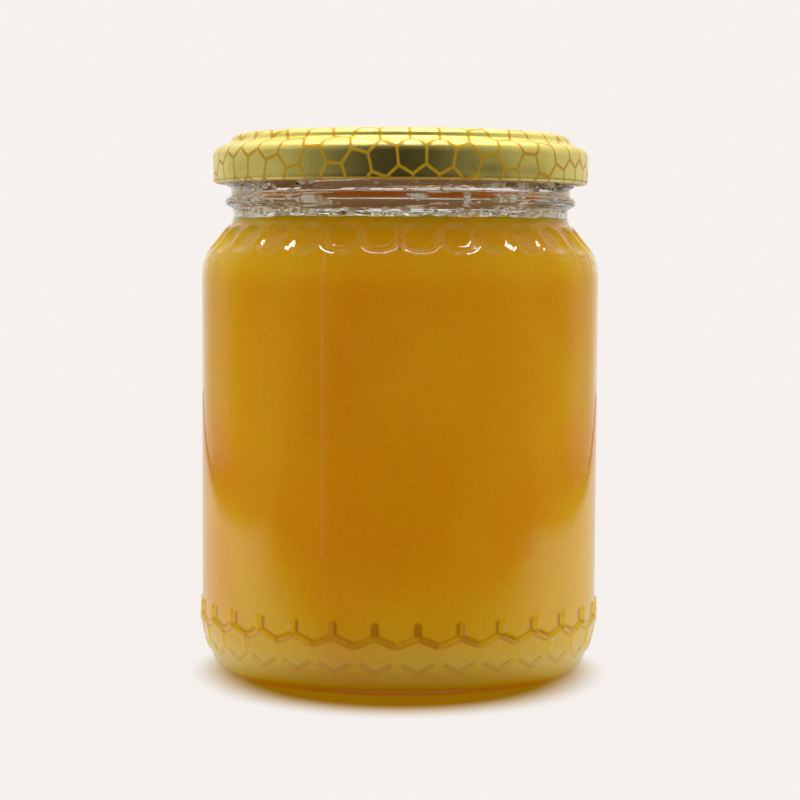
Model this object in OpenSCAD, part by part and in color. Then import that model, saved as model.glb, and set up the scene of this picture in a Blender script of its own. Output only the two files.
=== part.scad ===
// Honey jar: a round clear glass jar with a honeycomb relief, filled with
// honey to the root of its neck and closed with a stepped metal lug cap.
// Units are millimetres. The jar stands on z = 0, its axis is +Z and its
// front faces -Y.

/* [Glass body] */
// outside diameter of the upper body
body_d = 77.4; // [60:0.2:100]
// how much the middle of the wall draws in, on the radius
waist = 0.2; // [0:0.05:1]
// height of the glass without the cap
glass_h = 103.3; // [80:0.1:140]
// thickness of the side wall
wall_t = 2.4; // [1.6:0.1:4]
// thickness of the glass under the honey
base_t = 3.4; // [2:0.1:8]
// rise of the hollow under the base
push_up = 1.8; // [0.5:0.1:5]
// radius of the ring the jar stands on
stand_r = 33.2; // [26:0.1:38]
// radius of the heel curve
heel_r = 22; // [8:0.5:40]
// height at which the heel curve begins
heel_z = 12; // [6:0.5:20]

/* [Shoulder and neck] */
// height at which the shoulder begins
shoulder_z = 76; // [50:0.5:110]
// radius of the shoulder curve
shoulder_r = 10.3; // [5:0.1:20]
// slope of the shoulder, from the vertical, in degrees
shoulder_a = 39; // [25:1:60]
// outside diameter of the neck
neck_d = 65.2; // [50:0.1:90]
// outside diameter of the threaded finish
finish_d = 66; // [50:0.1:90]
// height of the transfer bead round the neck
bead_z = 91.05; // [70:0.05:130]
// section radius of the transfer bead
bead_r = 1.05; // [0.4:0.05:2]
// opening of the mouth
mouth_d = 60.4; // [40:0.2:80]
// number of lug threads round the finish
threads = 4; // [3:1:6]
// arc covered by one thread, in degrees
thread_arc = 76; // [30:1:90]
// section radius of a thread
thread_t = 0.85; // [0.4:0.05:1.5]
// tilt of a thread, in degrees
thread_tilt = 2.2; // [0:0.1:6]

/* [Honeycomb relief] */
// number of cells round the jar
cells = 30; // [18:1:36]
// radius of the round tool that presses one shoulder cell
dimple_r = 12; // [6:0.5:30]
// depth of a shoulder cell
dimple_depth = 0.75; // [0.2:0.05:1.5]
// height of the middle of the shoulder cells
dimple_z = 83.6; // [60:0.1:120]
// section radius of a heel rib
rib_r = 0.6; // [0.3:0.05:1.2]
// how far a heel rib stands out of the wall
rib_out = 0.5; // [0.1:0.05:0.8]
// height of the upper corners of the heel cells
cell_top = 11.35; // [8:0.05:20]
// rise of a cell corner over its neighbours
cell_rise = 1.65; // [0.5:0.05:4]
// length of the upright sides of a heel cell
cell_side = 2.9; // [1:0.1:6]
// length of the short posts above the heel cells
post_h = 2.3; // [0:0.1:5]

/* [Honey] */
// height of the top of the honey
fill_z = 87.2; // [20:0.1:100]

/* [Lug cap] */
// outside diameter of the cap
cap_d = 72.8; // [50:0.1:100]
// lower edge of the cap
cap_z = 94.45; // [70:0.05:130]
// thickness of the sheet
sheet_t = 0.3; // [0.2:0.05:1]
// section radius of the curled edge
curl_r = 0.85; // [0.4:0.05:1.5]
// radius of the bend between skirt and ledge
cap_bend_r = 2.0; // [0.5:0.1:4]
// slope of the ledge, in degrees
ledge_a = 22; // [0:1:40]
// radius of the foot of the raised panel
panel_r = 33; // [20:0.1:45]
// depth of the soft liner ring that seals on the glass
liner_t = 0.6; // [0.3:0.05:1.2]
// number of lugs
lugs = 4; // [3:1:6]
// arc of one lug, in degrees
lug_arc = 14; // [6:1:30]
// how far a lug reaches in from the curl
lug_in = 1.3; // [0.5:0.1:3]

/* [Hidden] */
$fn = 120;

pitch = 360 / cells;
body_r = body_d / 2;
neck_r = neck_d / 2;
finish_r = finish_d / 2;
mouth_r = mouth_d / 2;
cap_r = cap_d / 2;
mid_r = body_r - waist;
neck_fillet = 3.5;
foot_r = body_r - 4.2;
rim_round = 1.1;
rim_r = finish_r - 0.5;

// points of an arc about [cx, cz], from angle a to angle b
function arc(cx, cz, r, a, b, n) =
    [for (i = [0 : n]) let (t = a + (b - a) * i / n) [cx + r * cos(t), cz + r * sin(t)]];

// heel: a long curve from the wall, then a short one into the standing ring
heel_end = asin((heel_z - 2.2) / heel_r);
heel_x = mid_r - heel_r;
hx = heel_x + heel_r * cos(heel_end);
hz = heel_z - heel_r * sin(heel_end);
toe_r = hz / (1 - sin(heel_end));
toe_x = hx - toe_r * cos(heel_end);

// outside radius of the plain wall at height z, up to the shoulder
function wall_at(z) = z >= heel_z
    ? mid_r + waist * pow(min(1, (z - heel_z) / (shoulder_z - heel_z)), 2)
    : heel_x + sqrt(heel_r * heel_r - pow(heel_z - z, 2));

// shoulder: a curve, a straight slope and a fillet into the neck
sx = body_r - shoulder_r;
s1 = [sx + shoulder_r * cos(shoulder_a), shoulder_z + shoulder_r * sin(shoulder_a)];
slope = tan(shoulder_a);
// where the slope, carried on, meets the neck
corner_z = s1[1] + (s1[0] - neck_r) / slope;
tan_len = neck_fillet * tan(shoulder_a / 2);

function shoulder_at(z) = z <= s1[1]
    ? sx + sqrt(shoulder_r * shoulder_r - pow(z - shoulder_z, 2))
    : s1[0] - (z - s1[1]) * slope;

outer = concat(
    [[0, push_up], [stand_r * 0.5, push_up * 0.86], [stand_r * 0.8, push_up * 0.42], [stand_r * 0.93, push_up * 0.1], [stand_r - 0.9, 0]],
    [[toe_x, 0]],
    arc(toe_x, toe_r, toe_r, -75, -heel_end, 5),
    arc(heel_x, heel_z, heel_r, -heel_end * 0.83, 0, 5),
    [for (i = [1 : 6]) let (z = heel_z + (shoulder_z - heel_z) * i / 6) [wall_at(z), z]],
    arc(sx, shoulder_z, shoulder_r, shoulder_a / 6, shoulder_a, 5),
    arc(neck_r + neck_fillet, corner_z + tan_len, neck_fillet, 180 + shoulder_a, 180, 4),
    [[neck_r, bead_z - bead_r - 0.35]],
    arc(finish_r, bead_z, bead_r, -75, 90, 8),
    [[finish_r, bead_z + bead_r + 0.01], [finish_r, glass_h - 5.5], [rim_r, glass_h - 4.5]],
    arc(rim_r - rim_round, glass_h - rim_round, rim_round, 0, 90, 4)
);

in_r = mid_r - wall_t;
si = shoulder_r - wall_t;
sxi = in_r + waist - si;
floor_z = base_t + push_up;
floor_r = 8;
i1 = [sxi + si * cos(shoulder_a), shoulder_z + si * sin(shoulder_a)];
in_corner = i1[1] + (i1[0] - mouth_r) / slope;
in_fillet = neck_fillet + wall_t;
in_len = in_fillet * tan(shoulder_a / 2);

// inside of the glass, from the middle of the floor up to the mouth
inner = concat(
    [[0, floor_z], [in_r * 0.4, floor_z - push_up * 0.15]],
    arc(in_r - floor_r, base_t + floor_r, floor_r, -82, 0, 7),
    [[in_r, (base_t + floor_r + shoulder_z) / 2]],
    arc(sxi, shoulder_z, si, 0, shoulder_a, 6),
    arc(mouth_r + in_fillet, in_corner + in_len, in_fillet, 180 + shoulder_a, 180, 5)
);

glass_section = concat(
    outer,
    arc(mouth_r + 0.7, glass_h - 0.7, 0.7, 90, 180, 4),
    [for (i = [len(inner) - 1 : -1 : 0]) inner[i]]
);

// inside radius at the top of the honey
fill_r = lookup(fill_z, [for (p = inner) [p[1], p[0]]]);

honey_section = concat(
    [for (p = inner) if (p[1] < fill_z - 0.05) p],
    [[fill_r, fill_z], [0, fill_z]]
);

// a round bar between two points
module bar(p, q, r) {
    d = q - p;
    l = norm(d);
    translate(p)
        rotate([0, acos(d[2] / l), atan2(d[1], d[0])])
            rotate([0, 0, 11])
                translate([0, 0, -r * 0.3])
                    cylinder(r = r, h = l + r * 0.6, $fn = 8);
}

// a point on the wall, a degrees to the right of the front, set in for a rib
function on_wall(a, z) = let (r = wall_at(z) - rib_r + rib_out) [r * sin(a), -r * cos(a), z];

module heel_ribs() {
    v = cell_top - cell_rise;
    w = v - cell_side;
    for (i = [0 : cells - 1]) {
        a = (i - 0.5) * pitch - 0.5;
        bar(on_wall(a, cell_top), on_wall(a, cell_top + post_h), rib_r);
        bar(on_wall(a, cell_top), on_wall(a - pitch / 2, v), rib_r);
        bar(on_wall(a, cell_top), on_wall(a + pitch / 2, v), rib_r);
        bar(on_wall(a + pitch / 2, v), on_wall(a + pitch / 2, w), rib_r);
        bar(on_wall(a + pitch / 2, w), on_wall(a, w - cell_rise), rib_r);
        bar(on_wall(a - pitch / 2, w), on_wall(a, w - cell_rise), rib_r);
    }
}

module shoulder_cells() {
    n = [cos(shoulder_a - 5), sin(shoulder_a - 5)];
    reach = dimple_r - dimple_depth;
    r0 = shoulder_at(dimple_z);
    for (i = [0 : cells - 1])
        rotate([0, 0, (i + 0.5) * pitch - 90])
            translate([r0 + n[0] * reach, 0, dimple_z + n[1] * reach])
                sphere(r = dimple_r);
}

module neck_threads() {
    for (i = [0 : threads - 1])
        rotate([0, 0, -90 + 8 + i * 360 / threads])
            translate([0, 0, cap_z + 0.35])
                rotate([thread_tilt, 0, 0])
                    rotate([0, 0, -thread_arc / 2])
                        rotate_extrude(angle = thread_arc)
                            translate([finish_r + 0.35, 0])
                                circle(r = thread_t, $fn = 24);
}

// clear glass jar
module jar() {
    color([0.85, 0.92, 0.9, 0.35]) {
        union() {
            difference() {
                rotate_extrude() polygon(glass_section);
                shoulder_cells();
            }
            heel_ribs();
            neck_threads();
        }
    }
}

// the honey it holds
module honey() {
    color([0.8, 0.52, 0.02]) rotate_extrude() polygon(honey_section);
}

bend_x = cap_r - cap_bend_r;
ledge_end = [panel_r, 0];
bend_z = cap_z + 5.2;
bend_p = [bend_x + cap_bend_r * sin(ledge_a), bend_z + cap_bend_r * cos(ledge_a)];
foot_z = bend_p[1] + (bend_p[0] - panel_r) * tan(ledge_a);
// the panel stands on the glass through its liner
panel_h = glass_h + liner_t + sheet_t - foot_z;

// outside of the cap from the curl to the middle of its panel, moved in by t
function cap_line(t) = concat(
    [[cap_r - t, cap_z + curl_r]],
    arc(bend_x, bend_z, cap_bend_r - t, 0, 90 - ledge_a, 5),
    [[panel_r - t * 0.2, foot_z - t * 0.2]],
    [for (k = [[0.02, 0.25], [0.25, 0.5], [0.8, 0.72], [1.8, 0.9], [3.2, 0.98], [5, 1]])
        [panel_r - k[0] - t * (1 - k[1]), foot_z + panel_h * k[1] - t * k[1]]],
    [[0, foot_z + panel_h - t]]
);

module lid() {
    skin = cap_line(0);
    lining = cap_line(sheet_t);
    color([0.78, 0.68, 0.3]) {
        union() {
            rotate_extrude() polygon(concat(skin, [for (i = [len(lining) - 1 : -1 : 0]) lining[i]]));
            rotate_extrude() translate([cap_r - curl_r, cap_z + curl_r]) circle(r = curl_r, $fn = 24);
            rotate_extrude() polygon([
                [mouth_r, glass_h], [rim_r - 0.3, glass_h],
                [rim_r - 0.3, foot_z + panel_h * 0.72 - sheet_t * 0.5],
                [rim_r - 1.3, foot_z + panel_h * 0.9 - sheet_t * 0.5],
                [mouth_r, foot_z + panel_h * 0.95 - sheet_t * 0.5]
            ]);
            for (i = [0 : lugs - 1])
                rotate([0, 0, -90 + 46 + i * 360 / lugs - lug_arc / 2])
                    rotate_extrude(angle = lug_arc)
                        translate([cap_r - curl_r - lug_in - 0.2, cap_z])
                            square([lug_in + 0.4, 0.45]);
        }
    }
}

jar();
honey();
lid();
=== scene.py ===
"""Looks of a honey jar: glass, honey, residue in the neck and a printed lug cap."""

import math

import bpy
import numpy as np
from mathutils import Matrix, Vector


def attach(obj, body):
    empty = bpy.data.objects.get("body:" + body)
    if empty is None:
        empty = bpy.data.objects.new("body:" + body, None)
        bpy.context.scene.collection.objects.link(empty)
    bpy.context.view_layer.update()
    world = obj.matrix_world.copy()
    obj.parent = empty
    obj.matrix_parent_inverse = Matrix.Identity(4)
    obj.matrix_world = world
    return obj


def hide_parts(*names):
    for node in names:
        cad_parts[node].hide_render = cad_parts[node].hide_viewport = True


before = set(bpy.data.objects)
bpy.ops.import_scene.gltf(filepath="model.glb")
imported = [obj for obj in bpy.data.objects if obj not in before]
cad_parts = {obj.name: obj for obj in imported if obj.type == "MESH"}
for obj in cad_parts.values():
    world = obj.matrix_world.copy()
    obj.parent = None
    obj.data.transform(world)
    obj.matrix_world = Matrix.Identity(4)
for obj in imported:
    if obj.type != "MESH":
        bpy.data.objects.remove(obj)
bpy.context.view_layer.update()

RAD = math.pi / 180
BODY_R = 38.7
GLASS_H = 103.3
CELLS = 30
FILL_Z = 87.2
CAP_Z = 94.45
MID_R = 38.5
WALL = 2.4
SHOULDER_Z = 76.0
SHOULDER_R = 10.3
SHOULDER_A = 39 * RAD
NECK_R = 32.6
FIN_R = 33.0
MOUTH_R = 30.2

# ---------------------------------------------------------------- profiles (mm)


def arc(cx, cz, r, a, b, n):
    t = np.radians(np.linspace(a, b, n + 1))
    return [(cx + r * math.cos(k), cz + r * math.sin(k)) for k in t]


def resample(pts, step):
    """Points along a polyline, about step apart, ends kept."""
    p = np.array(pts, float)
    s = np.r_[0, np.cumsum(np.hypot(*np.diff(p, axis=0).T))]
    n = max(1, int(round(s[-1] / step)))
    t = np.linspace(0, s[-1], n + 1)
    return np.c_[np.interp(t, s, p[:, 0]), np.interp(t, s, p[:, 1])]


def join(*parts):
    out = []
    for p in parts:
        for q in p:
            q = (float(q[0]), float(q[1]))
            if not out or math.hypot(q[0] - out[-1][0], q[1] - out[-1][1]) > 1e-4:
                out.append(q)
    return np.array(out)


HEEL_R, HEEL_Z = 22.0, 12.0
heel_end = math.asin((HEEL_Z - 2.2) / HEEL_R)
heel_x = MID_R - HEEL_R
hx = heel_x + HEEL_R * math.cos(heel_end)
hz = HEEL_Z - HEEL_R * math.sin(heel_end)
toe_r = hz / (1 - math.sin(heel_end))
toe_x = hx - toe_r * math.cos(heel_end)


def wall_at(z):
    if z >= HEEL_Z:
        return MID_R + 0.2 * min(1.0, (z - HEEL_Z) / (SHOULDER_Z - HEEL_Z)) ** 2
    return heel_x + math.sqrt(HEEL_R**2 - (HEEL_Z - z) ** 2)


sx = BODY_R - SHOULDER_R
s1 = (sx + SHOULDER_R * math.cos(SHOULDER_A), SHOULDER_Z + SHOULDER_R * math.sin(SHOULDER_A))
slope = math.tan(SHOULDER_A)
corner_z = s1[1] + (s1[0] - NECK_R) / slope
tan_len = 3.5 * math.tan(SHOULDER_A / 2)

heel_end_d = math.degrees(heel_end)
OUTER = join(
    resample([(0.6, 1.8), (10, 1.72), (20, 1.35), (26, 0.85), (29.5, 0.42), (31.4, 0.1)], 4.0),
    arc(31.6, 0.5, 0.5, -110, -90, 1),
    resample([(32.3, 0.0), (toe_x, 0.0)], 0.5),
    resample(arc(toe_x, toe_r, toe_r, -90, -heel_end_d, 16), 0.5),
    resample(arc(heel_x, HEEL_Z, HEEL_R, -heel_end_d, 0, 60), 0.37),
    resample([(wall_at(z), z) for z in np.linspace(12, 15.4, 12)], 0.4),
    [(wall_at(z), z) for z in np.linspace(17.5, 71.5, 13)],
    resample([(wall_at(z), z) for z in np.linspace(71.5, 76, 6)], 1.2),
    resample(arc(sx, SHOULDER_Z, SHOULDER_R, 0, 39, 60), 0.4),
    resample([s1, (NECK_R + 3.5 * (1 - math.cos(SHOULDER_A)), corner_z + tan_len - 3.5 * math.sin(SHOULDER_A))], 0.36),
    resample(arc(NECK_R + 3.5, corner_z + tan_len, 3.5, 219, 180, 40), 0.5),
    [(NECK_R, 89.2), (NECK_R + 0.08, 89.62)],
    arc(FIN_R + 0.12, 91.0, 1.0, -72, 78, 12),
    [(FIN_R + 0.06, 92.25), (FIN_R, 92.7)],
    resample([(FIN_R, 93.1), (FIN_R, 97.2)], 0.3),
    [(FIN_R - 0.1, 97.9), (FIN_R - 0.45, 98.8), (FIN_R - 0.5, 100.6)],
    arc(FIN_R - 0.5 - 1.1, GLASS_H - 1.1, 1.1, 0, 90, 5),
)

in_r = MID_R - WALL
si = SHOULDER_R - WALL
sxi = in_r + 0.2 - si
i1 = (sxi + si * math.cos(SHOULDER_A), SHOULDER_Z + si * math.sin(SHOULDER_A))
in_corner = i1[1] + (i1[0] - MOUTH_R) / slope
in_fillet = 3.5 + WALL
in_len = in_fillet * math.tan(SHOULDER_A / 2)
INNER = join(
    [(0.5, 5.2), (6, 5.15), (14.4, 4.93), (20, 4.5)],
    arc(in_r - 8, 11.4, 8, -82, 0, 14),
    [(in_r, z) for z in np.linspace(16, 72, 12)],
    arc(sxi, SHOULDER_Z, si, 0, 39, 10),
    arc(MOUTH_R + in_fillet, in_corner + in_len, in_fillet, 219, 180, 12),
    [(MOUTH_R, z) for z in (90.5, 92, 94, 97, 100, 102)],
    arc(MOUTH_R + 0.7, GLASS_H - 0.7, 0.7, 180, 90, 4),
)


def normals(p):
    d = np.gradient(p, axis=0)
    d /= np.maximum(np.hypot(d[:, 0], d[:, 1])[:, None], 1e-9)
    return np.c_[d[:, 1], -d[:, 0]]


# ---------------------------------------------------------------- mesh helpers


def make(name, verts, faces, mat, smooth=True):
    me = bpy.data.meshes.new(name)
    v = np.asarray(verts, float) * 0.001
    me.from_pydata(v.tolist(), [], [tuple(int(k) for k in f) for f in faces])
    me.validate()
    if smooth:
        me.polygons.foreach_set("use_smooth", np.ones(len(me.polygons), bool))
    me.materials.append(mat)
    me.update()
    ob = bpy.data.objects.new(name, me)
    bpy.context.scene.collection.objects.link(ob)
    return ob


def ring_quads(a, b, n):
    """Quads between ring a and ring b (start indexes), outward for rings that rise."""
    i = np.arange(n)
    j = (i + 1) % n
    return np.c_[a + i, a + j, b + j, b + i]


def smoothstep(a, b, x):
    t = np.clip((x - a) / (b - a), 0, 1)
    return t * t * (3 - 2 * t)


def hash_noise(x, seed=0):
    """Smooth 1-D value noise, -1..1."""
    rng = np.random.default_rng(seed)
    tab = rng.uniform(-1, 1, 4096)
    i = np.floor(x).astype(int)
    f = x - i
    f = f * f * (3 - 2 * f)
    return tab[i % 4096] * (1 - f) + tab[(i + 1) % 4096] * f


def noise2(x, y, seed=0):
    rng = np.random.default_rng(seed)
    tab = rng.uniform(-1, 1, (256, 256))
    ix, iy = np.floor(x).astype(int), np.floor(y).astype(int)
    fx, fy = x - ix, y - iy
    fx, fy = fx * fx * (3 - 2 * fx), fy * fy * (3 - 2 * fy)
    g = lambda a, b: tab[a % 256, b % 256]
    return (g(ix, iy) * (1 - fx) + g(ix + 1, iy) * fx) * (1 - fy) + (g(ix, iy + 1) * (1 - fx) + g(ix + 1, iy + 1) * fx) * fy


def seg_dist(x, z, a, b):
    ax, az = a
    bx, bz = b
    dx, dz = bx - ax, bz - az
    t = np.clip(((x - ax) * dx + (z - az) * dz) / (dx * dx + dz * dz), 0, 1)
    return np.hypot(x - ax - t * dx, z - az - t * dz), t


def bump(d, hw, h):
    """A rounded ridge of half width hw and height h."""
    k = np.clip(1 - (d / hw) ** 2, 0, 1)
    return h * k**1.4


# ---------------------------------------------------------------- relief on the glass


def heel_relief(az, z):
    """Raised honeycomb round the heel. az in degrees, z in mm."""
    cell = np.floor((az + 6.5 + 6) / 12).astype(int)
    loc = (az + 6.5 + 6) % 12 - 6
    x = np.abs(loc) * RAD * 38.5
    half = 6 * RAD * 38.5
    rng = np.random.default_rng(4)
    vary = 1 + rng.uniform(-0.12, 0.12, 64)[cell % 30]
    d1, _ = seg_dist(x, z, (0, 11.35), (half, 9.7))
    d2, _ = seg_dist(x, z, (0, 11.35), (0, 13.5))
    d3, _ = seg_dist(x, z, (half, 9.7), (half, 6.8))
    d4, t4 = seg_dist(x, z, (half, 6.8), (0, 4.8))
    out = bump(d1, 0.62, 0.52)
    out = np.maximum(out, bump(d2, 0.72, 0.5) * vary)
    out = np.maximum(out, bump(d3, 0.95, 0.3))
    gap = smoothstep(0.06, 0.3, t4)
    out = np.maximum(out, bump(d4, 0.55, 0.34) * gap)
    return out


dimple_s = (83.6 - s1[1]) / math.cos(SHOULDER_A)


def shoulder_relief(az, v, lines=False):
    """Pressed hexagons round the shoulder. v in mm along the slope from the row's middle, up."""
    cell = np.floor(az / 12).astype(int)
    u = (az % 12 - 6) * RAD * 35.7
    half = 6 * RAD * 35.7
    rng = np.random.default_rng(9)
    depth = 0.62 * (1 + rng.uniform(-0.18, 0.18, 64)[cell % 30])
    lift = rng.uniform(-0.12, 0.12, 64)[cell % 30]
    k = (u / half) ** 2
    top = 3.25 - 1.15 * k + lift
    low = -3.3 + 1.25 * k + lift * 0.5
    side = (half - 0.32) - np.abs(u)
    e = 0.34
    a, b, c = side / e, (top - v) / e, (v - low) / e
    d = -e * np.log(np.exp(-np.clip(a, -30, 30)) + np.exp(-np.clip(b, -30, 30)) + np.exp(-np.clip(c, -30, 30)))
    if lines:
        return d
    soft = 0.8 + 1.4 * (1 - smoothstep(-1.4, 0.8, v))
    bowl = -depth * (0.8 * smoothstep(-0.05, soft, d) + 0.2 * smoothstep(0.3, 2.6, d))
    crest = 0.25 * np.exp(-((d + 0.12) / 0.4) ** 2)
    # a second, softer line under the row, with short stubs between the cells
    line = low - 1.45 + 0.25 * k
    second = 0.2 * np.exp(-((v - line) / 0.36) ** 2)
    stub = 0.13 * np.exp(-((half - np.abs(u)) / 0.42) ** 2) * smoothstep(-7.6, -5.2, v) * (1 - smoothstep(-2.6, -1.6, v))
    return bowl + crest + second + stub


def thread_relief(az, z):
    """How far the thread ridges stand out of the finish."""
    loc = (az - 8 + 45) % 90 - 45
    zt = CAP_Z + 0.35 + FIN_R * np.sin(loc * RAD) * math.tan(2.2 * RAD)
    end = smoothstep(38.5, 32, np.abs(loc))
    q = 0.85**2 - (z - zt) ** 2
    h = 0.3 + np.sqrt(np.clip(q, 0, None))
    return np.where(q > 0, h * smoothstep(0, 0.25, np.clip(q, 0, None)), 0) * end


# ---------------------------------------------------------------- materials


def mat(name):
    m = bpy.data.materials.new(name)
    m.use_nodes = True
    m.node_tree.nodes.clear()
    return m, m.node_tree.nodes, m.node_tree.links


class G:
    """Small helper for node trees."""

    def __init__(self, m):
        self.n, self.l = m.node_tree.nodes, m.node_tree.links

    def new(self, kind, **props):
        nd = self.n.new(kind)
        for k, v in props.items():
            setattr(nd, k, v)
        return nd

    def put(self, sock, v):
        if hasattr(v, "links"):
            self.l.new(v, sock)
        else:
            sock.default_value = v

    def math(self, op, a, b=0.0, c=None, clamp=False):
        nd = self.new("ShaderNodeMath", operation=op, use_clamp=clamp)
        self.put(nd.inputs[0], a)
        self.put(nd.inputs[1], b)
        if c is not None:
            self.put(nd.inputs[2], c)
        return nd.outputs[0]

    def ramp(self, v, a, b, lo=0.0, hi=1.0):
        nd = self.new("ShaderNodeMapRange", interpolation_type="SMOOTHSTEP")
        self.put(nd.inputs["Value"], v)
        for k, w in zip(("From Min", "From Max", "To Min", "To Max"), (a, b, lo, hi)):
            nd.inputs[k].default_value = w
        return nd.outputs["Result"]

    def mix(self, f, a, b):
        nd = self.new("ShaderNodeMix", data_type="RGBA")
        self.put(nd.inputs[0], f)
        self.put(nd.inputs[6], a)
        self.put(nd.inputs[7], b)
        return nd.outputs[2]

    def noise(self, vec, scale, detail=2.0, rough=0.5, dist=0.0):
        nd = self.new("ShaderNodeTexNoise")
        self.put(nd.inputs["Vector"], vec)
        nd.inputs["Scale"].default_value = scale
        nd.inputs["Detail"].default_value = detail
        nd.inputs["Roughness"].default_value = rough
        nd.inputs["Distortion"].default_value = dist
        return nd.outputs["Fac"]

    def obj(self):
        return self.new("ShaderNodeTexCoord").outputs["Object"]

    def xyz(self, v):
        nd = self.new("ShaderNodeSeparateXYZ")
        self.l.new(v, nd.inputs[0])
        return nd.outputs

    def scale(self, v, s):
        nd = self.new("ShaderNodeVectorMath", operation="MULTIPLY")
        self.l.new(v, nd.inputs[0])
        nd.inputs[1].default_value = s
        return nd.outputs[0]


def srgb(r, g, b):
    f = lambda c: c / 12.92 if c <= 0.04045 else ((c + 0.055) / 1.055) ** 2.4
    return (f(r / 255), f(g / 255), f(b / 255), 1.0)


def glass_material():
    m, n, l = mat("clear_glass")
    g = G(m)
    out = g.new("ShaderNodeOutputMaterial")
    p = g.new("ShaderNodeBsdfPrincipled")
    p.inputs["Base Color"].default_value = (0.985, 0.992, 0.985, 1)
    p.inputs["Roughness"].default_value = 0.0
    p.inputs["IOR"].default_value = 1.5
    p.inputs["Transmission Weight"].default_value = 1.0
    # pressed glass is never quite flat: a faint unevenness, finer on the worked bands
    co = g.obj()
    fine = g.noise(co, 900, 2.0, 0.55)
    slow = g.noise(co, 60, 1.0, 0.5)
    x, y, z = g.xyz(co)
    band = g.math("MULTIPLY", g.ramp(z, 0.0775, 0.0795), g.ramp(z, 0.0885, 0.0870))
    peel = g.noise(co, 2400, 2.0, 0.6)
    h = g.math("ADD", g.math("MULTIPLY", fine, 0.2), g.math("MULTIPLY", slow, 1.0))
    h = g.math("ADD", h, g.math("MULTIPLY", g.math("MULTIPLY", peel, band), 0.55))
    b = g.new("ShaderNodeBump")
    b.inputs["Strength"].default_value = 0.35
    b.inputs["Distance"].default_value = 0.00012
    g.l.new(h, b.inputs["Height"])
    g.l.new(b.outputs[0], p.inputs["Normal"])
    t = g.new("ShaderNodeBsdfTransparent")
    t.inputs[0].default_value = (0.96, 0.965, 0.955, 1)
    lp = g.new("ShaderNodeLightPath")
    mx = g.new("ShaderNodeMixShader")
    l.new(g.math("MAXIMUM", lp.outputs["Is Shadow Ray"], lp.outputs["Is Diffuse Ray"]), mx.inputs[0])
    l.new(p.outputs[0], mx.inputs[1])
    l.new(t.outputs[0], mx.inputs[2])
    l.new(mx.outputs[0], out.inputs["Surface"])
    return m


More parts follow.
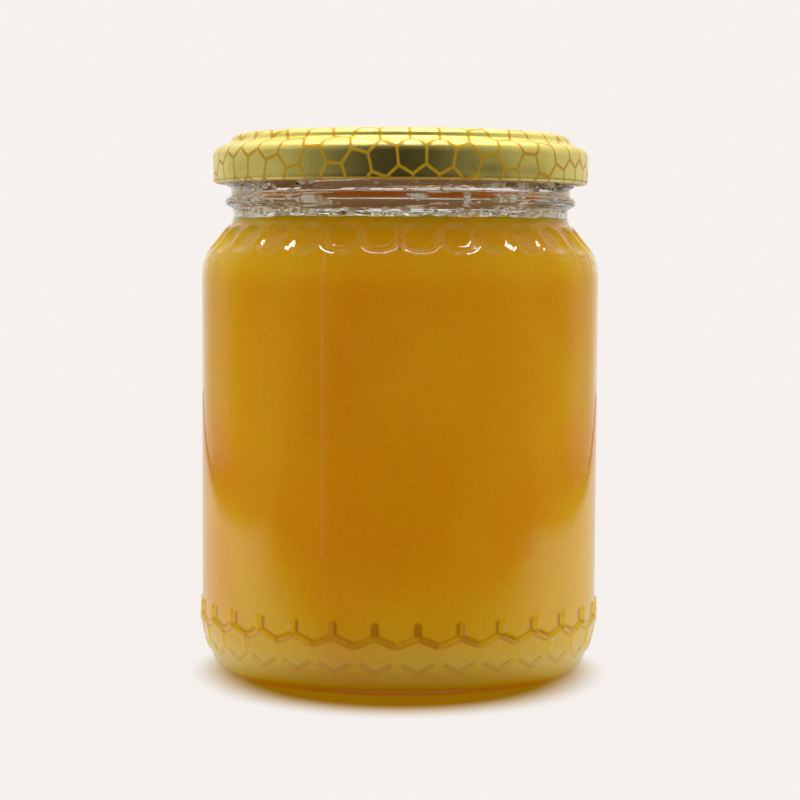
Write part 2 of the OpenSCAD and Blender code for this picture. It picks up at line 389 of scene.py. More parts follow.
def honey_material():
    m, n, l = mat("honey")
    g = G(m)
    out = g.new("ShaderNodeOutputMaterial")
    p = g.new("ShaderNodeBsdfPrincipled")
    co = g.obj()
    x, y, z = g.xyz(co)
    # front-to-side measure from the piece's own axis: 0 at the front and back, 1 at the sides
    r = g.math("MAXIMUM", g.math("SQRT", g.math("ADD", g.math("MULTIPLY", x, x), g.math("MULTIPLY", y, y))), 1e-4)
    # settled, paler honey in the lower part, its surface a shallow bowl
    wob = g.noise(co, 38, 2.0, 0.5)
    wob2 = g.noise(co, 95, 2.0, 0.6)
    side = g.math("ABSOLUTE", g.math("DIVIDE", x, r))
    level = g.math("ADD", 0.0175, g.math("MULTIPLY", g.math("POWER", side, 2.2), 0.0185))
    zz = g.math("SUBTRACT", z, level)
    zz = g.math("ADD", zz, g.math("MULTIPLY", g.math("SUBTRACT", wob, 0.5), 0.016))
    zz = g.math("ADD", zz, g.math("MULTIPLY", g.math("SUBTRACT", wob2, 0.5), 0.004))
    pale = g.ramp(zz, 0.009, -0.010)
    dark = g.math("MULTIPLY", g.ramp(zz, -0.001, 0.006), g.ramp(zz, 0.022, 0.008))
    # painted light: the clear honey is yellower towards the sides and redder at the front and back, standing in for
    # light that comes in from the sides
    clear = g.mix(g.math("POWER", side, 2.0), (0.94, 0.405, 0.0, 1), (0.94, 0.505, 0.0, 1))
    deep = (0.89, 0.345, 0.0, 1)
    settled = (0.96, 0.56, 0.01, 1)
    base = g.mix(g.math("MULTIPLY", dark, g.ramp(side, 0.2, 0.85, 0.15, 0.75)), clear, deep)
    base = g.mix(g.math("MULTIPLY", pale, 0.85), base, settled)
    # clouds and slow streaks
    cl = g.noise(g.scale(co, (1, 1, 0.45)), 55, 3.0, 0.55, 0.4)
    base = g.mix(g.ramp(cl, 0.45, 0.70, 0.0, 0.34), base, (0.98, 0.55, 0.01, 1))
    cl2 = g.noise(g.scale(co, (1, 1, 0.6)), 30, 2.0, 0.5)
    base = g.mix(g.ramp(cl2, 0.5, 0.32, 0.0, 0.45), base, (0.84, 0.32, 0.0, 1))
    # fine crystal grain
    gr = g.noise(co, 2600, 3.0, 0.75)
    base = g.mix(g.ramp(gr, 0.5, 0.70, 0.0, 0.35), base, (1.0, 0.68, 0.02, 1))
    base = g.mix(g.ramp(gr, 0.5, 0.30, 0.0, 0.28), base, (0.66, 0.30, 0.0, 1))
    # painted shade: darker honey behind the heel ribs; painted highlight: lighter honey along the shoulder cell rims
    # and the mould seams
    relief_shading_attr = g.new("ShaderNodeAttribute", attribute_name="painted_relief_shading")
    base = g.mix(g.math("MULTIPLY", relief_shading_attr.outputs["Fac"], 0.8), base, (0.42, 0.17, 0.0, 1))
    base = g.mix(g.math("MULTIPLY", relief_shading_attr.outputs["Fac"], -0.42), base, (1.0, 0.70, 0.24, 1))
    # paler where the heel gathers light, dark in the last corner
    base = g.mix(g.ramp(z, 0.0085, 0.0045, 0.0, 0.45), base, (1.0, 0.62, 0.16, 1))
    base = g.mix(g.ramp(z, 0.0030, 0.0022, 0.0, 0.8), base, (0.88, 0.60, 0.0, 1))
    # a few specks of wax
    vo = g.new("ShaderNodeTexVoronoi")
    vo.inputs["Scale"].default_value = 105
    l.new(co, vo.inputs["Vector"])
    rare = g.new("ShaderNodeSeparateColor")
    l.new(vo.outputs["Color"], rare.inputs[0])
    sp = g.math("MULTIPLY", g.ramp(vo.outputs["Distance"], 0.045, 0.02), g.math("GREATER_THAN", rare.outputs[0], 0.955))
    base = g.mix(g.math("MULTIPLY", sp, 0.75), base, (0.16, 0.06, 0.0, 1))
    l.new(base, p.inputs["Base Color"])
    p.inputs["Roughness"].default_value = 0.28
    p.inputs["Specular IOR Level"].default_value = 0.08
    p.inputs["Subsurface Weight"].default_value = 1.0
    p.inputs["Subsurface Radius"].default_value = (1.0, 0.5, 0.05)
    p.inputs["Subsurface Scale"].default_value = 0.030
    l.new(p.outputs[0], out.inputs["Surface"])
    return m


def gold_material():
    m, n, l = mat("gold_tinplate")
    g = G(m)
    out = g.new("ShaderNodeOutputMaterial")
    p = g.new("ShaderNodeBsdfPrincipled")
    at = g.new("ShaderNodeAttribute", attribute_name="sheet")
    sv = at.outputs["Vector"]
    X, Y, Z = g.xyz(sv)
    # honeycomb print on the flat sheet, before the cap was pressed
    a, pitch = 0.1064, 5.40
    wx = g.noise(sv, 0.35, 1.0, 0.5)
    wy = g.noise(g.scale(sv, (-1, 1, 1)), 0.35, 1.0, 0.5)
    X1 = g.math("ADD", X, g.math("MULTIPLY", g.math("SUBTRACT", wx, 0.5), 0.12))
    Y1 = g.math("ADD", Y, g.math("MULTIPLY", g.math("SUBTRACT", wy, 0.5), 0.12))
    dx = g.math("SUBTRACT", X1, -1.838)
    dy = g.math("SUBTRACT", Y1, -0.280)
    u = g.math("ADD", g.math("MULTIPLY", dx, math.cos(a)), g.math("MULTIPLY", dy, math.sin(a)))
    v = g.math("ADD", g.math("MULTIPLY", dx, -math.sin(a)), g.math("MULTIPLY", dy, math.cos(a)))
    u = g.math("DIVIDE", u, pitch)
    v = g.math("DIVIDE", v, pitch)
    q3 = math.sqrt(3)

    def cell(ou, ov):
        cu = g.math("SUBTRACT", g.math("FRACT", g.math("ADD", u, ou)), 0.5)
        cv = g.math("MULTIPLY", g.math("SUBTRACT", g.math("FRACT", g.math("ADD", g.math("DIVIDE", v, q3), ov)), 0.5), q3)
        au, av = g.math("ABSOLUTE", cu), g.math("ABSOLUTE", cv)
        return g.math("MAXIMUM", au, g.math("ADD", g.math("MULTIPLY", au, 0.5), g.math("MULTIPLY", av, q3 / 2)))

    hd = g.math("MINIMUM", cell(0.5, 0.5), cell(0.0, 0.0))
    edge = g.math("MULTIPLY", g.math("SUBTRACT", 0.5, hd), pitch)
    wid = g.noise(sv, 1.7, 2.0, 0.5)
    edge = g.math("SUBTRACT", edge, g.math("MULTIPLY", g.math("SUBTRACT", wid, 0.5), 0.10))
    ink = g.ramp(edge, 0.305, 0.235)
    # inside: pale lacquer, no print (Z of the sheet attribute is 0 there)
    ink = g.math("MULTIPLY", ink, Z)
    inside = g.math("SUBTRACT", 1.0, Z, clamp=True)
    # rolling scratches in two directions, faint, and handling marks
    s1_ = g.noise(g.scale(sv, (0.25, 9, 1)), 3.0, 3.0, 0.65)
    rot = g.new("ShaderNodeVectorRotate", rotation_type="Z_AXIS")
    rot.inputs["Angle"].default_value = 0.95
    l.new(sv, rot.inputs["Vector"])
    s2_ = g.noise(g.scale(rot.outputs[0], (0.2, 7, 1)), 4.0, 3.0, 0.7)
    blot = g.noise(sv, 0.25, 3.0, 0.55)
    gold = g.mix(g.ramp(blot, 0.35, 0.7), (0.90, 0.755, 0.20, 1), (0.84, 0.70, 0.165, 1))
    gold = g.mix(g.ramp(s1_, 0.58, 0.74, 0.0, 0.35), gold, (0.95, 0.86, 0.5, 1))
    gold = g.mix(g.ramp(s2_, 0.60, 0.76, 0.0, 0.5), gold, (0.6, 0.47, 0.12, 1))
    col = g.mix(ink, gold, (0.66, 0.37, 0.0, 1))
    col = g.mix(inside, col, (0.80, 0.68, 0.42, 1))
    l.new(col, p.inputs["Base Color"])
    l.new(g.math("SUBTRACT", 1.0, g.math("MULTIPLY", g.math("MAXIMUM", ink, inside), 0.93)), p.inputs["Metallic"])
    rough = g.math("ADD", 0.25, g.math("MULTIPLY", s1_, 0.12))
    rough = g.math("ADD", rough, g.math("MULTIPLY", ink, 0.12))
    l.new(rough, p.inputs["Roughness"])
    b = g.new("ShaderNodeBump")
    p.inputs["Specular IOR Level"].default_value = 0.25
    b.inputs["Strength"].default_value = 0.5
    b.inputs["Distance"].default_value = 0.00010
    hh = g.math("ADD", g.math("MULTIPLY", s1_, 0.6), g.math("MULTIPLY", s2_, 0.5))
    hh = g.math("ADD", hh, g.math("MULTIPLY", ink, 0.35))
    l.new(hh, b.inputs["Height"])
    l.new(b.outputs[0], p.inputs["Normal"])
    l.new(p.outputs[0], out.inputs["Surface"])
    return m


def residue_material():
    m, n, l = mat("residue")
    g = G(m)
    out = g.new("ShaderNodeOutputMaterial")
    p = g.new("ShaderNodeBsdfPrincipled")
    co = g.obj()
    k = g.noise(co, 800, 3.0, 0.6)
    col = g.mix(g.ramp(k, 0.40, 0.56), (0.62, 0.44, 0.20, 1), (0.98, 0.92, 0.78, 1))
    l.new(col, p.inputs["Base Color"])
    p.inputs["Roughness"].default_value = 0.35
    l.new(p.outputs[0], out.inputs["Surface"])
    return m


M_GLASS = glass_material()
M_HONEY = honey_material()
M_GOLD = gold_material()
M_RES = residue_material()


# ---------------------------------------------------------------- glass


def build_glass():
    n = 570
    m = 190
    az = (np.arange(n) + 0.0) * 360 / n  # degrees to the right of the front
    prof = OUTER
    nrm = normals(prof)
    s_on_slope = (prof[:, 1] - s1[1]) / math.cos(SHOULDER_A)
    # arc length measured up the shoulder, zero at the middle of the row of cells
    seg = np.r_[0, np.cumsum(np.hypot(*np.diff(prof, axis=0).T))]
    k0 = np.interp(83.6, prof[:, 1][40:], seg[40:])
    v = seg - k0
    verts = []
    sin, cos = np.sin(az * RAD), np.cos(az * RAD)
    for i, (r, z) in enumerate(prof):
        disp = np.zeros(n)
        if 1.9 < z < 15.6:
            disp = disp + heel_relief(az, np.full(n, z))
        if 74.5 < z < 88.4:
            fade = smoothstep(74.5, 77, z) * (1 - smoothstep(86.9, 88.2, z))
            disp = disp + shoulder_relief(az, np.full(n, v[i])) * fade
        if 93 < z < 97.6:
            disp = disp + thread_relief(az, np.full(n, z))
        if 15 < z < 89.5:
            # mould seams and the slight unevenness of a blown wall
            for a0 in (-22.3, 157.7):
                dd = ((az - a0 + 180) % 360 - 180) * RAD * r
                disp = disp + 0.07 * np.exp(-(dd / 0.3) ** 2)
        if 20 < z < 72:
            w = smoothstep(20, 30, z) * (1 - smoothstep(64, 72, z))
            disp = disp + w * 0.02 * (hash_noise(az / 9.0 + 7, 3) + noise2(az / 24.0, np.full(n, z / 14.0), 5))
        dr, dz = nrm[i] * 1.0
        if z < 1.3 and r > 32.8:
            # knurl on the standing ring
            tick = np.clip(hash_noise(az / 0.9, 11), 0, 1) * smoothstep(33.2, 34.0, r) * (1 - smoothstep(0.7, 1.25, z))
            disp = disp + 0.16 * tick
        rr = r + disp * dr
        zz = np.maximum(z + disp * dz, 0.0)
        verts.append(np.c_[rr * sin, -rr * cos, zz])
    rows = len(prof)
    inner = INNER
    azi = np.arange(m) * 360 / m
    si_, ci_ = np.sin(azi * RAD), np.cos(azi * RAD)
    for r, z in inner:
        w = 0.012 * noise2(azi / 14.0, np.full(m, z / 9.0), 8) if 12 < z < 100 else 0.0
        rr = r + w
        verts.append(np.c_[rr * si_, -rr * ci_, np.full(m, z)])
    V = np.vstack(verts)
    faces = []
    for i in range(rows - 1):
        faces.append(ring_quads(i * n, (i + 1) * n, n))
    base = rows * n
    for i in range(len(inner) - 1):
        q = ring_quads(base + i * m, base + (i + 1) * m, m)
        faces.append(q[:, ::-1])
    F = [tuple(q) for q in np.vstack(faces)]
    # bottom centre and floor centre
    F.append(tuple(range(n - 1, -1, -1)))
    F.append(tuple(range(base, base + m)))
    # rim: each inner edge meets three outer ones
    top_o, top_i = (rows - 1) * n, base + (len(inner) - 1) * m
    k = n // m
    for i in range(m):
        a, b = top_i + i, top_i + (i + 1) % m
        o = [top_o + (i * k + t) % n for t in range(k + 1)]
        F.append((o[0], o[1], a))
        F.append((o[1], o[2], b, a))
        F.append((o[2], o[3], b))
    return make("glass_jar", V, F, M_GLASS)


glass = build_glass()
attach(glass, "root")
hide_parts("jar")


# ---------------------------------------------------------------- honey


def heel_rib_painted_shade(az, z):
    """Painted shade: darker lines in the honey right behind the ribs of the glass, standing in for the ribs' shade and
    refraction, 0..1.
    """
    loc = (az + 6.5 + 6) % 12 - 6
    x = np.abs(loc) * RAD * 38.5
    half = 6 * RAD * 38.5
    d1, _ = seg_dist(x, z, (0, 11.35), (half, 9.7))
    d2, _ = seg_dist(x, z, (0, 11.6), (0, 13.3))
    d4, t4 = seg_dist(x, z, (half, 6.8), (0, 4.8))
    # the left and right arms of each corner differ a little, as in pressed glass
    arm = np.where(loc > 0, 1.0, 0.6)
    v = np.exp(-((d1 / 0.42) ** 2)) * 0.8 * arm
    v = np.maximum(v, np.exp(-((d2 / 0.55) ** 2)) * 1.0)
    return np.maximum(v, np.exp(-((d4 / 0.3) ** 2)) * 0.8 * smoothstep(0.1, 0.35, t4))


def build_honey():
    n = 720
    over = 0.28
    pts = np.array([p for p in INNER if p[1] < FILL_Z - 0.3])
    wall_r = float(np.interp(FILL_Z, [p[1] for p in INNER], [p[0] for p in INNER]))
    nm = normals(pts)
    side = np.c_[pts[:, 0] + nm[:, 0] * over, pts[:, 1] + nm[:, 1] * over]
    # the glass of the heel is thin to the eye: the honey seems to reach its outer skin
    up = side[side[:, 1] >= 3.6]
    zl = np.linspace(1.75, 15.4, 36)
    ri = np.interp(zl, up[:, 1], up[:, 0])
    o = OUTER[(OUTER[:, 1] < 16) & (OUTER[:, 0] > 33)]
    ro = np.interp(zl, o[:, 1], o[:, 0]) - 1.0
    w = smoothstep(11.0, 5.0, zl)
    low = np.c_[ri * (1 - w) + ro * w, zl]
    base = np.array([(0.5, 4.9), (8, 4.8), (16, 4.5), (22, 4.1), (27, 3.3), (30.5, 2.2), (32.4, 1.8)])
    high, top = side[(side[:, 1] > 15.5) & (side[:, 1] < 74)], side[side[:, 1] >= 74]
    side = np.vstack([base, low, resample(high, 2.6), resample(top, 0.42)])
    seg = np.r_[0, np.cumsum(np.hypot(*np.diff(OUTER, axis=0).T))]
    arc_z, arc_v = OUTER[40:, 1], seg[40:] - np.interp(83.6, OUTER[40:, 1], seg[40:])
    az = np.arange(n) * 360 / n
    s, c = np.sin(az * RAD), np.cos(az * RAD)
    verts, painted_relief_shading = [], []
    for r, z in side:
        verts.append(np.c_[r * s, -r * c, np.full(n, z)])
        k = np.zeros(n)
        if r > 25 and z < 15.6:
            k = heel_rib_painted_shade(az, np.full(n, z))
        if 75 < z < 88.2:
            # painted highlight: the honey is made lighter along the rims of the pressed cells, where the cells carry
            # light
            d = shoulder_relief(az, np.full(n, float(np.interp(z + 0.3, arc_z, arc_v))), lines=True)
            k = -np.exp(-(((d - 0.05) / 0.22) ** 2)) * (0.45 + 0.55 * np.clip(hash_noise(az / 6.0, 41), 0, 1))
        # painted highlight: lighter lines in the honey behind the two mould seams
        if 18 < z < 82:
            for a0 in (337.7, 157.7):
                k = k - 0.5 * np.exp(-(((az - a0) * RAD * 36 / 0.26) ** 2)) * smoothstep(18, 30, z)
        painted_relief_shading.append(k)
    # meniscus: the rim of the honey climbs the glass a little, unevenly
    climb = 0.45 + 0.25 * hash_noise(az / 7.5, 21) + 0.12 * hash_noise(az / 1.7, 22)
    for r, dz_ in [(wall_r + 0.36, -0.2), (wall_r + 0.16, 0.35), (wall_r - 0.12, 0.5), (wall_r - 0.5, 0.3), (wall_r - 1.1, 0.1), (wall_r - 2.2, 0.0)]:
        zc = FILL_Z + dz_ * (climb / 0.45 if dz_ > 0 else np.ones(n))
        verts.append(np.c_[r * s, -r * c, zc])
    for r in (25, 20, 15, 10, 5, 1):
        zz = FILL_Z + 0.12 * noise2(az / 20 + 3, np.full(n, r / 6.0), 31)
        verts.append(np.c_[r * s, -r * c, zz])
    V = np.vstack(verts)
    rows = len(verts)
    painted_relief_shading += [np.zeros(n)] * (rows - len(painted_relief_shading))
    F = []
    for i in range(rows - 1):
        F += [tuple(q) for q in ring_quads(i * n, (i + 1) * n, n)]
    F.append(tuple(range(n - 1, -1, -1)))
    F.append(tuple(range((rows - 1) * n, rows * n)))
    ob = make("honey_fill", V, F, M_HONEY)
    at = ob.data.attributes.new("painted_relief_shading", "FLOAT", "POINT")
    at.data.foreach_set("value", np.concatenate(painted_relief_shading).astype(np.float32))
    return ob


honey = build_honey()
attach(honey, "root")
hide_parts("honey")


# ---------------------------------------------------------------- residue


def blob(rng, az, z, w, h, t, lat=7, lon=12):
    """A flattened drop on the inside of the neck, its back in the glass."""
    verts, faces = [], []
    ph = rng.uniform(0, 6.28, 6)
    for i in range(1, lat):
        th = math.pi * i / lat
        for j in range(lon):
            a = 2 * math.pi * j / lon
            k = 1 + 0.22 * math.sin(2 * a + ph[0]) + 0.16 * math.sin(3 * a + ph[1]) + 0.1 * math.sin(5 * a + ph[2])
            u = w * math.sin(th) * math.cos(a) * k
            v = h * math.sin(th) * math.sin(a) * k
            d = t * math.cos(th)
            verts.append((u, v, d))
    top, bot = len(verts), len(verts) + 1
    verts += [(0, 0, t), (0, 0, -t)]
    for i in range(lat - 2):
        for j in range(lon):
            a, b = i * lon + j, i * lon + (j + 1) % lon
            faces.append((b, b + lon, a + lon, a))
    for j in range(lon):
        faces.append((top, (j + 1) % lon, j))
        q = (lat - 2) * lon
        faces.append((bot, q + j, q + (j + 1) % lon))
    out = []
    for u, v, d in verts:
        zz = z + v
        rr = MOUTH_R if zz > 90.5 else float(np.interp(zz, INNER[:, 1][20:], INNER[:, 0][20:]))
        rr = rr + 0.02 - d
        a = az * RAD + u / rr
        out.append((rr * math.sin(a), -rr * math.cos(a), zz))
    return out, faces


def build_residue():
    rng = np.random.default_rng(17)
    V, F = [], []

    def put(az, z, w, h, t):
        v, f = blob(rng, az, z, w, h, t)
        b = len(V)
        V.extend(v)
        F.extend([tuple(k + b for k in q) for q in f])

    for _ in range(860):
        az = rng.uniform(-180, 180)
        dense = 0.45 + 0.55 * (math.sin((abs(az) - 15) * RAD * 2.2) ** 2) * (0.6 + 0.4 * math.sin(az * RAD * 7 + 1))
        if rng.uniform() > dense:
            continue
        z = FILL_Z + 0.6 + abs(rng.normal(0, 1.7))
        if z > 93.6:
            z = rng.uniform(88, 91.5)
        s = rng.uniform(0.15, 0.6)
        put(az, z, s * rng.uniform(1.0, 2.4), s * rng.uniform(0.6, 1.0), rng.uniform(0.06, 0.16))
    for _ in range(130):
        az = rng.uniform(-180, 180)
        keep = 0.25 + 0.75 * smoothstep(18, 40, abs(abs(az) - 0.0) if abs(az) < 90 else 180 - abs(az))
        if rng.uniform() < keep:
            put(az, rng.uniform(88.6, 97), rng.uniform(1.0, 3.4), rng.uniform(0.4, 1.0), 0.06)
    for _ in range(70):
        put(rng.uniform(-180, 180), rng.uniform(92, 97), rng.uniform(0.2, 0.8), rng.uniform(0.15, 0.4), 0.08)
    return make("neck_residue", V, F, M_RES)


residue = build_residue()
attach(residue, "root")


# ---------------------------------------------------------------- cap

CAP_R, BEND_R, LEDGE_A, PANEL_R, SHEET = 36.4, 2.0, 22.0, 33.0, 0.3
bend_x, bend_z = CAP_R - BEND_R, CAP_Z + 5.2
bend_p = (bend_x + BEND_R * math.sin(LEDGE_A * RAD), bend_z + BEND_R * math.cos(LEDGE_A * RAD))
foot_z = bend_p[1] + (bend_p[0] - PANEL_R) * math.tan(LEDGE_A * RAD)
PANEL_H = GLASS_H + 0.6 + SHEET - foot_z
CURL = 0.85


def spline(pts, n):
    """Catmull-Rom through the points."""
    p = np.array(pts, float)
    p = np.vstack([2 * p[0] - p[1], p, 2 * p[-1] - p[-2]])
    out = []
    for i in range(1, len(p) - 2):
        for t in np.linspace(0, 1, n, endpoint=False):
            a, b, c, d = p[i - 1], p[i], p[i + 1], p[i + 2]
            out.append(0.5 * (2 * b + (c - a) * t + (2 * a - 5 * b + 4 * c - d) * t**2 + (3 * b - a - 3 * c + d) * t**3))
    out.append(p[-2])
    return np.array(out)


def build_cap():
    n = 480
    # from the bottom of the curl, out and up the skirt, over to the middle of the panel
    cx, cz = CAP_R - CURL, CAP_Z + CURL
    outer = join(
        arc(cx, cz, CURL, -90, 0, 8),
        resample([(CAP_R, cz), (CAP_R, bend_z)], 0.5),
        arc(bend_x, bend_z, BEND_R, 0, 90 - LEDGE_A, 14),
        resample(
            spline(
                [bend_p, ((bend_p[0] + PANEL_R) / 2, (bend_p[1] + foot_z) / 2), (PANEL_R + 0.25, foot_z - 0.04)]
                + [(PANEL_R - k0, foot_z + PANEL_H * k1) for k0, k1 in [(0.02, 0.25), (0.25, 0.5), (0.8, 0.72), (1.8, 0.9), (3.2, 0.98), (5, 1)]],
                8,
            ),
            0.3,
        ),
        [(r, foot_z + PANEL_H) for r in (25, 21, 17, 13, 9, 5, 2, 0.5)],
    )
    # back along the inside, down to the curl's roll
    ledge_in = (bend_x + (BEND_R - SHEET) * math.sin(LEDGE_A * RAD), bend_z + (BEND_R - SHEET) * math.cos(LEDGE_A * RAD))
    inner = join(
        [(r, foot_z + PANEL_H - SHEET) for r in (0.5, 5, 12, 20, 27)],
        [(29.7, foot_z + PANEL_H * 0.97 - SHEET), (31.2, foot_z + PANEL_H * 0.84 - SHEET), (32.35, foot_z + PANEL_H * 0.5 - SHEET), (32.6, foot_z - 0.1 - SHEET * 0.6)],
        [ledge_in],
        arc(bend_x, bend_z, BEND_R - SHEET, 90 - LEDGE_A - 12, 0, 6),
        resample([(CAP_R - SHEET, bend_z), (CAP_R - SHEET, cz + CURL + 0.2)], 1.0),
        arc(cx, cz, CURL, 62, 270, 12)[:-1],
    )
    prof = np.vstack([outer, inner])
    az = np.arange(n) * 360 / n
    s, c = np.sin(az * RAD), np.cos(az * RAD)
    verts, sheet = [], []
    rng = np.random.default_rng(5)
    for i, (r, z) in enumerate(prof):
        out_side = i < len(outer)
        dr = np.zeros(n)
        # slightly uneven skirt, and a shallow dent to the right of the front
        if CAP_Z - 0.1 < z < bend_z + 0.2 and r > 34:
            dr = dr + 0.035 * hash_noise(az / 11.0, 13) + 0.02 * hash_noise(az / 4.0, 14)
            for a0, wa, z0, wz, dep in ((27, 6.5, CAP_Z + 0.9, 1.5, -0.3), (42, 5.5, CAP_Z + 0.9, 1.3, -0.22), (-58, 7.0, CAP_Z + 1.0, 1.6, -0.15), (118, 9.0, CAP_Z + 1.2, 1.8, -0.2), (-140, 8.0, CAP_Z + 1.0, 1.5, -0.18)):
                dd = (az - a0 + 180) % 360 - 180
                dr = dr + dep * np.exp(-(dd / wa) ** 2) * math.exp(-(((z - z0) / wz) ** 2))
        dz = np.zeros(n)
        if z > foot_z and r < PANEL_R - 0.5:
            dz = dz + 0.0
        rr = r + dr
        verts.append(np.c_[rr * s, -rr * c, z + dz])
        h = max(0.0, 101.3 - z)
        rho = 35.4 + 0.896 * h + 0.0006 * h * h if (z < 101.3 and r > 34.2) else r
        on = 1.0 if (out_side and z > CAP_Z + 0.12) else 0.0
        sheet.append(np.c_[rho * s, -rho * c, np.full(n, on)])
    V, S = np.vstack(verts), np.vstack(sheet)
    rows = len(prof)
    F = []
    no = len(outer)
    for i in range(rows - 1):
        if i == no - 1:
            continue  # the middle of the panel is closed by its own caps
        F += [tuple(q) for q in ring_quads(i * n, (i + 1) * n, n)]
    F += [tuple(q) for q in ring_quads((rows - 1) * n, 0, n)]
    F.append(tuple(range((no - 1) * n, no * n)))
    F.append(tuple(range((no + 1) * n - 1, no * n - 1, -1)))
    ob = make("lug_cap", V, F, M_GOLD)
    at = ob.data.attributes.new("sheet", "FLOAT_VECTOR", "POINT")
    at.data.foreach_set("vector", S.astype(np.float32).ravel())
    return ob


cap = build_cap()
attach(cap, "root")
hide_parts("lid")


def build_lugs():
    """Four lugs bent in from the curl, closed and rounded."""
    V, F = [], []
    for k in range(4):
        c0 = 46 + 90 * k
        m, q = 17, 16
        b = len(V)
        for i in range(m):
            t = i / (m - 1)
            a = (c0 - 7 + 14 * t) * RAD
            reach = 1.5 * (1 - (2 * t - 1) ** 4) + 0.25
            cx, cz = 35.1 - reach / 2, CAP_Z + 0.42
            hw, hh = reach / 2 + 0.25, 0.22 * (1 - 0.3 * (2 * t - 1) ** 2) + 0.08
            for j in range(q):
                u = 2 * math.pi * j / q
                cu, su = math.cos(u), math.sin(u)
                e = 0.6
                r = cx + hw * math.copysign(abs(cu) ** e, cu)
                z = cz + hh * math.copysign(abs(su) ** e, su)
                V.append((r * math.sin(a), -r * math.cos(a), z))
        for i in range(m - 1):
            for j in range(q):
                j2 = (j + 1) % q
                F.append((b + i * q + j, b + i * q + j2, b + (i + 1) * q + j2, b + (i + 1) * q + j))
        F.append(tuple(b + j for j in range(q - 1, -1, -1)))
        F.append(tuple(b + (m - 1) * q + j for j in range(q)))
    return make("cap_lugs", V, [f[::-1] for f in F], M_GOLD)


lugs = build_lugs()
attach(lugs, "root")


def liner_material():
    m, n, l = mat("liner")
    g = G(m)
    out = g.new("ShaderNodeOutputMaterial")
    p = g.new("ShaderNodeBsdfPrincipled")
    k = g.noise(g.obj(), 700, 2.0, 0.5)
    l.new(g.mix(k, (0.62, 0.60, 0.54, 1), (0.72, 0.70, 0.64, 1)), p.inputs["Base Color"])
    p.inputs["Roughness"].default_value = 0.6
    l.new(p.outputs[0], out.inputs["Surface"])
    return m


def build_liner():
    n = 240
    prof = [(30.25, 103.32), (31.95, 103.32), (32.15, 103.45), (31.9, foot_z + PANEL_H * 0.72 - 0.35), (31.0, foot_z + PANEL_H * 0.88 - 0.33), (30.3, foot_z + PANEL_H * 0.95 - 0.32)]
    az = np.arange(n) * 2 * math.pi / n
    V = np.vstack([np.c_[r * np.sin(az), -r * np.cos(az), np.full(n, z)] for r, z in prof])
    F = []
    for i in range(len(prof)):
        F += [tuple(q) for q in ring_quads(i * n, ((i + 1) % len(prof)) * n, n)]
    return make("cap_liner", V, F, liner_material())


liner = build_liner()
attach(liner, "root")


# ---------------------------------------------------------------- floor, light, camera

BG = srgb(246, 241, 238)


def build_floor():
    m, n, l = mat("floor")
    g = G(m)
    out = g.new("ShaderNodeOutputMaterial")
    x, y, z = g.xyz(g.obj())
    r = g.math("MAXIMUM", g.math("SQRT", g.math("ADD", g.math("MULTIPLY", x, x), g.math("MULTIPLY", y, y))), 1e-4)
    front = g.math("DIVIDE", g.math("MULTIPLY", y, -1.0), r)
    # the jar's own soft shadow, warm where the light comes through the honey
    ff = g.math("MAXIMUM", front, 0.0)
    edge = g.math("ADD", 0.0312, g.math("MULTIPLY", g.math("POWER", ff, 3.0), 0.0105))
    width = g.math("ADD", 0.0095, g.math("MULTIPLY", ff, 0.0045))
    t = g.math("DIVIDE", g.math("SUBTRACT", r, edge), width, clamp=True)
    cr = g.new("ShaderNodeValToRGB")
    cr.color_ramp.interpolation = "B_SPLINE"
    el = cr.color_ramp.elements
    el[0].position, el[0].color = 0.0, srgb(146, 99, 2)
    el[1].position, el[1].color = 1.0, BG
    for pos, c in ((0.12, srgb(150, 106, 14)), (0.36, srgb(196, 170, 130)), (0.62, srgb(226, 212, 196)), (0.85, srgb(242, 236, 231))):
        e = el.new(pos)
        e.color = c
    l.new(t, cr.inputs[0])
    em = g.new("ShaderNodeEmission")
    l.new(cr.outputs[0], em.inputs["Color"])
    # the board is lit from behind: what it sends to the jar falls off to the front and the sides
    fall = g.math("MULTIPLY", g.ramp(y, -0.105, -0.015, 0.0, 0.84), g.ramp(g.math("ABSOLUTE", x), 0.31, 0.24))
    lp = g.new("ShaderNodeLightPath")
    l.new(g.math("MAXIMUM", fall, lp.outputs["Is Camera Ray"]), em.inputs["Strength"])
    l.new(em.outputs[0], out.inputs["Surface"])
    me = bpy.data.meshes.new("floor")
    me.from_pydata([(-0.31, -0.105, 0), (0.31, -0.105, 0), (0.31, 0.9, 0), (-0.31, 0.9, 0)], [], [(0, 1, 2, 3)])
    me.materials.append(m)
    ob = bpy.data.objects.new("floor", me)
    ob.location.z = -0.00005
    bpy.context.scene.collection.objects.link(ob)
    return ob


floor = build_floor()

world = bpy.data.worlds.new("studio")
bpy.context.scene.world = world
world.use_nodes = True
wn = world.node_tree.nodes
wn.clear()
W = G(world)
wout = W.new("ShaderNodeOutputWorld")
tc = W.new("ShaderNodeTexCoord")
wx, wy, wz = W.xyz(tc.outputs["Generated"])
# a dark stand behind the camera, white round the sides and the back, a softbox overhead;
# honey, metal and glass each see it through their own flag
flat = W.math("ADD", W.math("MULTIPLY", wx, wx), W.math("MULTIPLY", wy, wy))
flat = W.math("SQRT", W.math("ADD", flat, W.math("MULTIPLY", W.math("MULTIPLY", wz, wz), 0.09)))
front = W.math("ARCCOSINE", W.math("MULTIPLY", W.math("DIVIDE", wy, flat), -1.0))
lp = W.new("ShaderNodeLightPath")
low = W.ramp(wz, -0.10, -0.085)
soft = W.math("MULTIPLY", W.ramp(W.math("ABSOLUTE", wx), 0.32, 0.28), W.ramp(W.math("ABSOLUTE", W.math("SUBTRACT", wy, 0.15)), 0.21, 0.17))
soft = W.math("MULTIPLY", soft, W.math("GREATER_THAN", wz, 0.0))
sky = W.math("MULTIPLY", W.ramp(wz, 0.3, 0.7, 0.0, 0.4), W.ramp(wy, 0.0, 0.4))


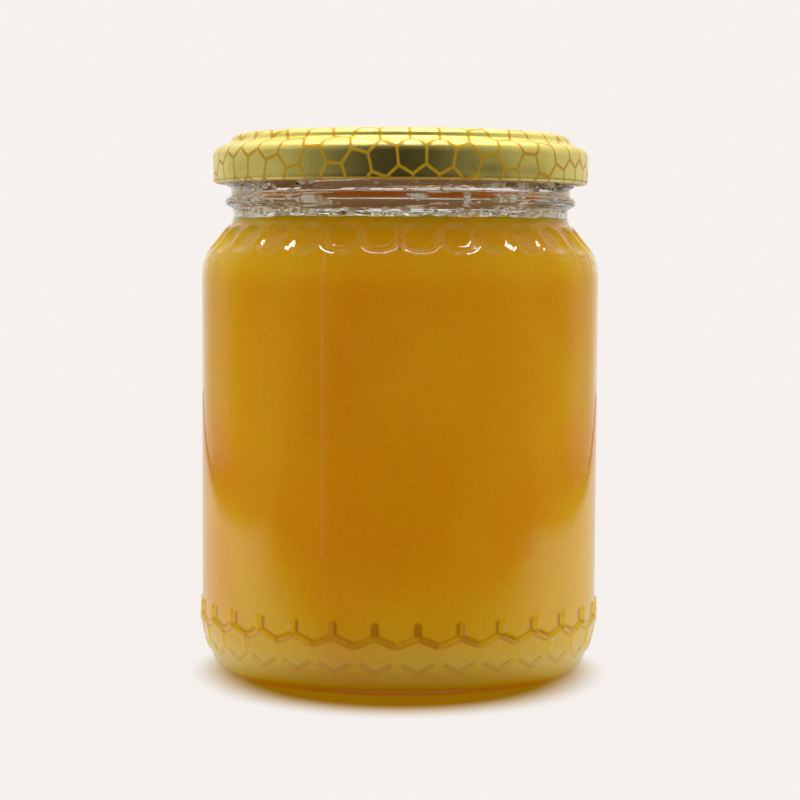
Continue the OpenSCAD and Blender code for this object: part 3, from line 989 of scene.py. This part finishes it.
def setup(steps, under, overhead, box):
    """One state of the studio: brightness round from the front, below, above, and the softbox."""
    v = 0.0
    for a, b, k in steps:
        v = W.math("ADD", v, W.ramp(front, a * RAD, b * RAD, 0.0, k))
    v = W.math("MULTIPLY", v, W.math("ADD", under, W.math("MULTIPLY", low, 1.0 - under)))
    return W.math("ADD", W.math("ADD", v, W.math("MULTIPLY", sky, overhead)), W.math("MULTIPLY", soft, box))


def pick(flag, a, b):
    return W.math("ADD", W.math("MULTIPLY", a, W.math("SUBTRACT", 1.0, flag)), W.math("MULTIPLY", b, flag))


diffuse = setup(((-2, -1, 0.56), (10, 100, 0.30), (100, 160, 0.16)), 0.6, 0.5, 9.0)
metal = setup(((-2, -1, 0.015), (18, 86, 0.64), (95, 160, 0.30)), 0.06, 1.0, 6.0)
gloss = setup(((-2, -1, 0.006), (104, 126, 0.32), (132, 165, 0.57)), 0.06, 0.3, 48.0)
total = pick(lp.outputs["Is Glossy Ray"], diffuse, metal)
total = pick(lp.outputs["Is Singular Ray"], total, gloss)
studio = W.new("ShaderNodeBackground")
studio.inputs["Color"].default_value = (1.0, 0.985, 0.97, 1)
W.l.new(total, studio.inputs["Strength"])
plain = W.new("ShaderNodeBackground")
plain.inputs["Color"].default_value = BG
wm = W.new("ShaderNodeMixShader")
W.l.new(lp.outputs["Is Camera Ray"], wm.inputs[0])
W.l.new(studio.outputs[0], wm.inputs[1])
W.l.new(plain.outputs[0], wm.inputs[2])
W.l.new(wm.outputs[0], wout.inputs["Surface"])

scene = bpy.context.scene
scene.view_settings.view_transform = "Standard"
scene.view_settings.look = "None"
scene.cycles.caustics_refractive = False
scene.cycles.caustics_reflective = False
scene.cycles.transparent_max_bounces = 24
scene.cycles.max_bounces = 16
scene.cycles.transmission_bounces = 14
scene.cycles.diffuse_bounces = 4
scene.cycles.sample_clamp_indirect = 50.0

cam_data = bpy.data.cameras.new("camera")
cam_data.sensor_width = 36
cam_data.lens = 108
cam = bpy.data.objects.new("camera", cam_data)
bpy.context.scene.collection.objects.link(cam)
phi, roll = 3.52 * RAD, 0.29 * RAD
fwd = Vector((0, math.cos(phi), -math.sin(phi)))
right = Vector((1, 0, 0))
up = right.cross(fwd)
right, up = right * math.cos(roll) + up * math.sin(roll), up * math.cos(roll) - right * math.sin(roll)
M = Matrix((right, up, -fwd)).transposed().to_4x4()
M.translation = Vector((0.00009, -0.470, 0.0813))
cam.matrix_world = M
cam_data.clip_start = 0.01
cam_data.clip_end = 50
scene.camera = cam
